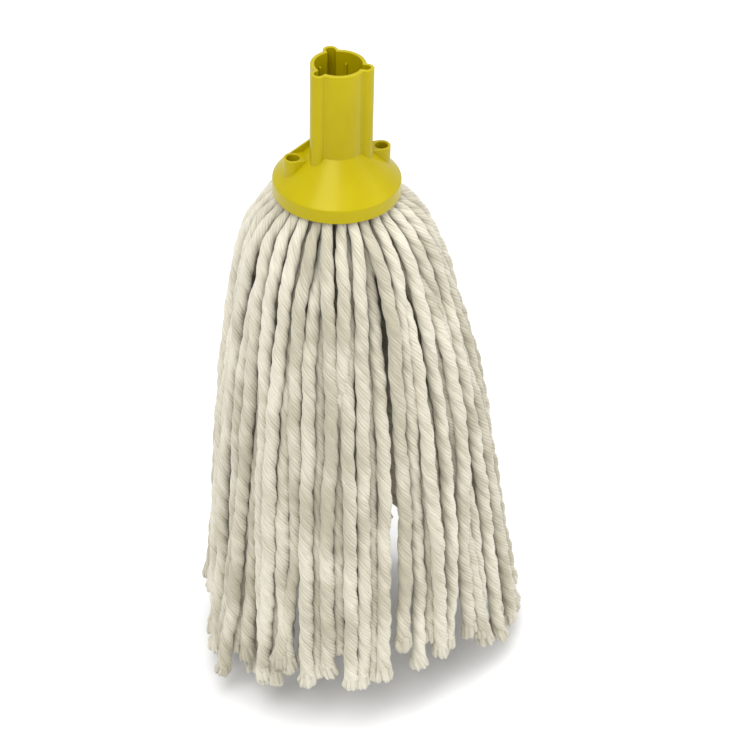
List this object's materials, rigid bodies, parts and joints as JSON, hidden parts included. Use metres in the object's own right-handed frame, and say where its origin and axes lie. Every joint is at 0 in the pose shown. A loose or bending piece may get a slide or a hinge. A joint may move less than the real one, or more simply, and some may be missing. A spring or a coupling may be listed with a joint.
{
  "type": "string mop head",
  "caption": "Cotton string mop head: a push-on plastic handle socket clamps a bundle of folded twisted yarns that hang loose.",
  "frame": {"origin": "centre of the handle socket's mouth", "axes": "+Z along the socket bore, up towards the handle; the two screw bosses lie on the X axis; one of the tube's three lobes points along +Y"},
  "size_m": [0.2135, 0.1707, 0.4311],
  "materials": {
    "yellow_plastic": "satin",
    "natural_plastic": "satin",
    "zinc_steel": "satin",
    "cotton_yarn": "matte"
  },
  "bodies": {
    "head": {"socket_body": "yellow_plastic", "retaining_plate": "natural_plastic", "clamp_screws": "zinc_steel", "yarn_core": "cotton_yarn", "inner_strings_1": "cotton_yarn", "inner_strings_2": "cotton_yarn", "inner_strings_3": "cotton_yarn"},
    "tuft_1": {"string_01": "cotton_yarn", "string_02": "cotton_yarn", "string_03": "cotton_yarn", "string_31": "cotton_yarn", "string_41": "cotton_yarn"},
    "tuft_2": {"string_04": "cotton_yarn", "string_05": "cotton_yarn", "string_06": "cotton_yarn", "string_32": "cotton_yarn", "string_42": "cotton_yarn"},
    "tuft_3": {"string_07": "cotton_yarn", "string_08": "cotton_yarn", "string_09": "cotton_yarn", "string_33": "cotton_yarn", "string_43": "cotton_yarn"},
    "tuft_4": {"string_10": "cotton_yarn", "string_11": "cotton_yarn", "string_12": "cotton_yarn", "string_34": "cotton_yarn", "string_44": "cotton_yarn"},
    "tuft_5": {"string_13": "cotton_yarn", "string_14": "cotton_yarn", "string_15": "cotton_yarn", "string_35": "cotton_yarn", "string_45": "cotton_yarn"},
    "tuft_6": {"string_16": "cotton_yarn", "string_17": "cotton_yarn", "string_18": "cotton_yarn", "string_36": "cotton_yarn", "string_46": "cotton_yarn"},
    "tuft_7": {"string_19": "cotton_yarn", "string_20": "cotton_yarn", "string_21": "cotton_yarn", "string_37": "cotton_yarn", "string_47": "cotton_yarn"},
    "tuft_8": {"string_22": "cotton_yarn", "string_23": "cotton_yarn", "string_24": "cotton_yarn", "string_38": "cotton_yarn", "string_48": "cotton_yarn"},
    "tuft_9": {"string_25": "cotton_yarn", "string_26": "cotton_yarn", "string_27": "cotton_yarn", "string_39": "cotton_yarn", "string_49": "cotton_yarn"},
    "tuft_10": {"string_28": "cotton_yarn", "string_29": "cotton_yarn", "string_30": "cotton_yarn", "string_40": "cotton_yarn", "string_50": "cotton_yarn"}
  },
  "joints": [
    {"name": "tuft_1_splay", "type": "hinge", "parent": "head", "child": "tuft_1", "pos_m": [0.02948, 0.00958, -0.0879], "axis": [0.309, -0.9511, 0], "range_deg": [0, 24]},
    {"name": "tuft_2_splay", "type": "hinge", "parent": "head", "child": "tuft_2", "pos_m": [0.01822, 0.02508, -0.0879], "axis": [0.809, -0.5878, 0], "range_deg": [0, 24]},
    {"name": "tuft_3_splay", "type": "hinge", "parent": "head", "child": "tuft_3", "pos_m": [0, 0.031, -0.0879], "axis": [1, 0, 0], "range_deg": [0, 24]},
    {"name": "tuft_4_splay", "type": "hinge", "parent": "head", "child": "tuft_4", "pos_m": [-0.01822, 0.02508, -0.0879], "axis": [0.809, 0.5878, 0], "range_deg": [0, 24]},
    {"name": "tuft_5_splay", "type": "hinge", "parent": "head", "child": "tuft_5", "pos_m": [-0.02948, 0.00958, -0.0879], "axis": [0.309, 0.9511, 0], "range_deg": [0, 24]},
    {"name": "tuft_6_splay", "type": "hinge", "parent": "head", "child": "tuft_6", "pos_m": [-0.02948, -0.00958, -0.0879], "axis": [-0.309, 0.9511, 0], "range_deg": [0, 24]},
    {"name": "tuft_7_splay", "type": "hinge", "parent": "head", "child": "tuft_7", "pos_m": [-0.01822, -0.02508, -0.0879], "axis": [-0.809, 0.5878, 0], "range_deg": [0, 24]},
    {"name": "tuft_8_splay", "type": "hinge", "parent": "head", "child": "tuft_8", "pos_m": [0, -0.031, -0.0879], "axis": [-1, 0, 0], "range_deg": [0, 24]},
    {"name": "tuft_9_splay", "type": "hinge", "parent": "head", "child": "tuft_9", "pos_m": [0.01822, -0.02508, -0.0879], "axis": [-0.809, -0.5878, 0], "range_deg": [0, 24]},
    {"name": "tuft_10_splay", "type": "hinge", "parent": "head", "child": "tuft_10", "pos_m": [0.02948, -0.00958, -0.0879], "axis": [-0.309, -0.9511, 0], "range_deg": [0, 24]}
  ]
}
